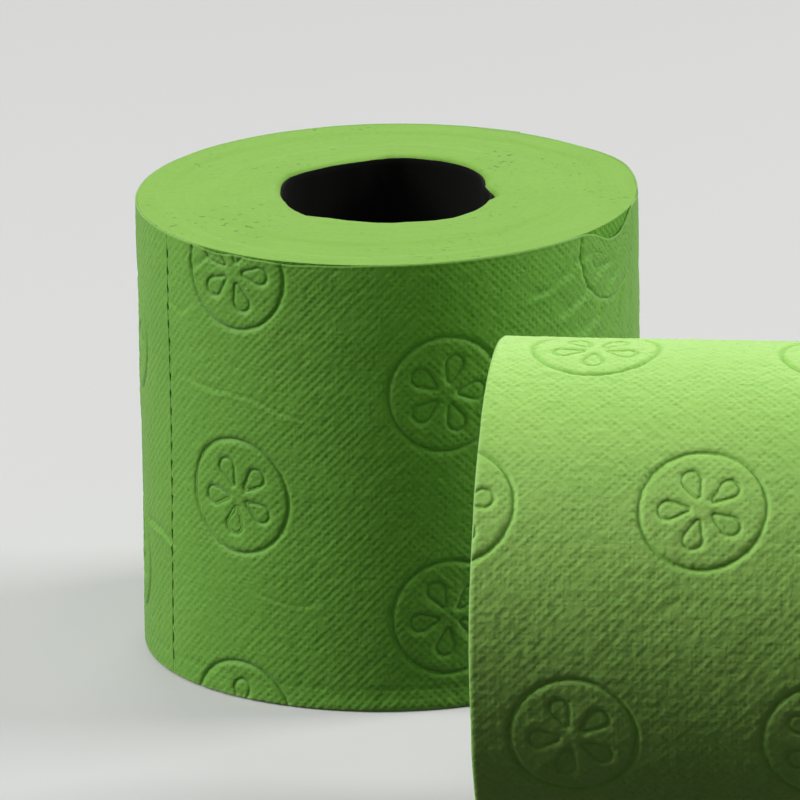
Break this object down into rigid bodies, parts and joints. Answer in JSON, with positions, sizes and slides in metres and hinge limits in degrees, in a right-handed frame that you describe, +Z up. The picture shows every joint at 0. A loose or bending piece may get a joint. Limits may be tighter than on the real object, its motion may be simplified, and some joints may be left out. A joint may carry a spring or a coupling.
{
  "type": "toilet paper roll pack",
  "caption": "Pair of embossed green toilet rolls on dark cardboard tubes, one standing on its end and one lying on its side.",
  "frame": {"origin": "on the axis of the standing roll's cardboard tube, at its lower end, on the surface that both rolls rest on", "axes": "+Z up along the axis of the standing roll's tube; the second roll lies on its side towards -Y, with its axis mostly along +X"},
  "size_m": [0.1754, 0.2527, 0.1046],
  "materials": {
    "tissue": "matte",
    "tube_board": "matte"
  },
  "bodies": {
    "root": {"standing_roll_paper": "tissue", "standing_roll_core": "tube_board", "lying_roll_paper": "tissue", "lying_roll_core": "tube_board"}
  },
  "joints": []
}
